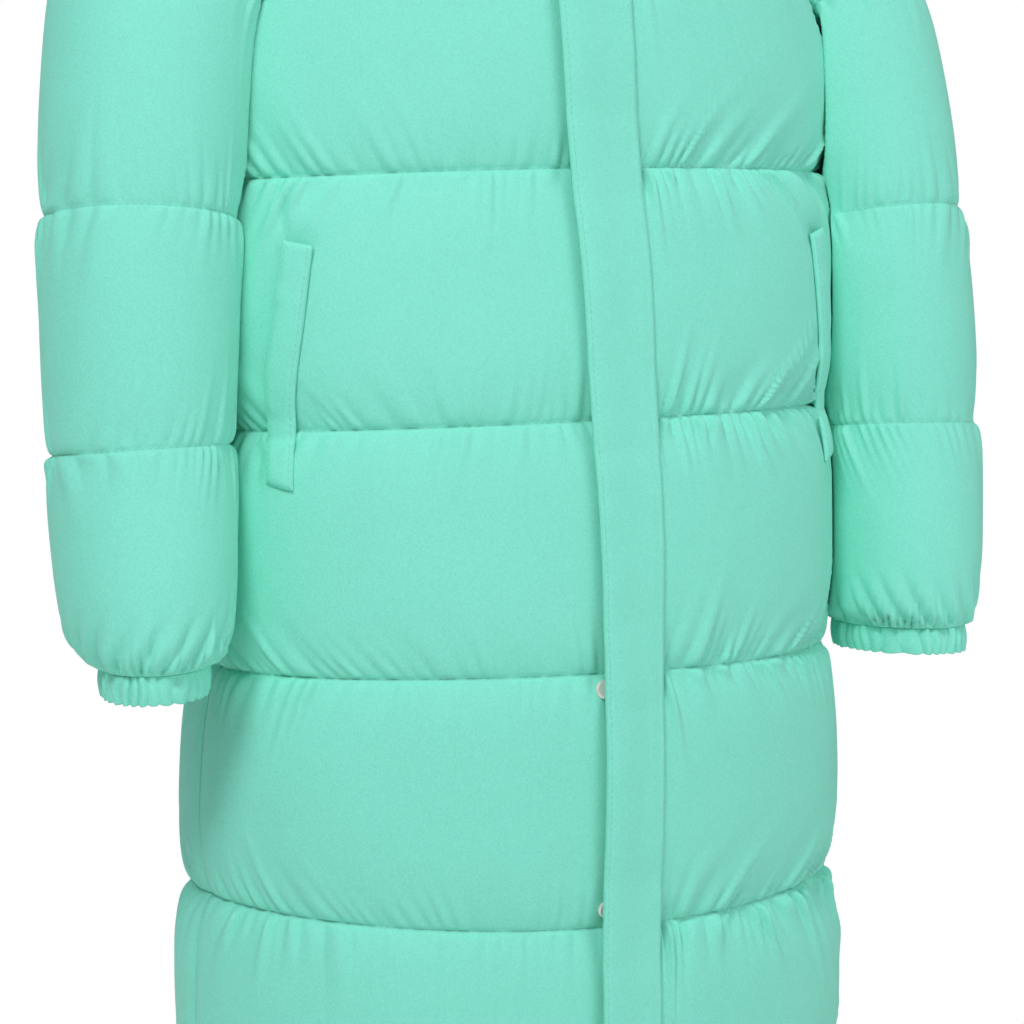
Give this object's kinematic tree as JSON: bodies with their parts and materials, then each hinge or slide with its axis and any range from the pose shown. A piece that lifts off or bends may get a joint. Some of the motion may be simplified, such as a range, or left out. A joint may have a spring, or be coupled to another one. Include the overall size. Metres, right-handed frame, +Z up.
{
  "type": "puffer coat",
  "caption": "Long mint-green quilted puffer coat, closed, with a snapped front flap, slanted welt pockets, a plain stand collar and gathered cuffs, standing in its worn shape with no wearer.",
  "frame": {"origin": "the middle of the neck base, between the two shoulder neck points, where the wearer's shoulders and neck hold the coat up", "axes": "+Z up along the coat, the wearer faces -Y, +X is the wearer's left"},
  "size_m": [0.6751, 0.3338, 1.1992],
  "materials": {
    "front_right": "matte woven shell over padding",
    "front_left": "matte woven shell over padding",
    "back": "matte woven shell over padding",
    "sleeve_right": "matte woven shell over padding",
    "sleeve_left": "matte woven shell over padding",
    "cuff_right": "matte woven shell over padding",
    "cuff_left": "matte woven shell over padding",
    "collar": "matte woven shell over padding",
    "placket_flap": "matte woven shell over padding",
    "welt_right": "matte woven shell over padding",
    "welt_left": "matte woven shell over padding",
    "snap_1": "satin nickel",
    "snap_2": "satin nickel",
    "snap_3": "satin nickel",
    "snap_4": "satin nickel",
    "snap_5": "satin nickel",
    "snap_6": "satin nickel",
    "snap_7": "satin nickel",
    "snap_8": "satin nickel"
  },
  "bodies": {
    "root": {"front_right": "front_right", "front_left": "front_left", "back": "back", "sleeve_right": "sleeve_right", "sleeve_left": "sleeve_left", "cuff_right": "cuff_right", "cuff_left": "cuff_left", "collar": "collar", "placket_flap": "placket_flap", "welt_right": "welt_right", "welt_left": "welt_left", "snap_1": "snap_1", "snap_2": "snap_2", "snap_3": "snap_3", "snap_4": "snap_4", "snap_5": "snap_5", "snap_6": "snap_6", "snap_7": "snap_7", "snap_8": "snap_8"}
  },
  "joints": []
}
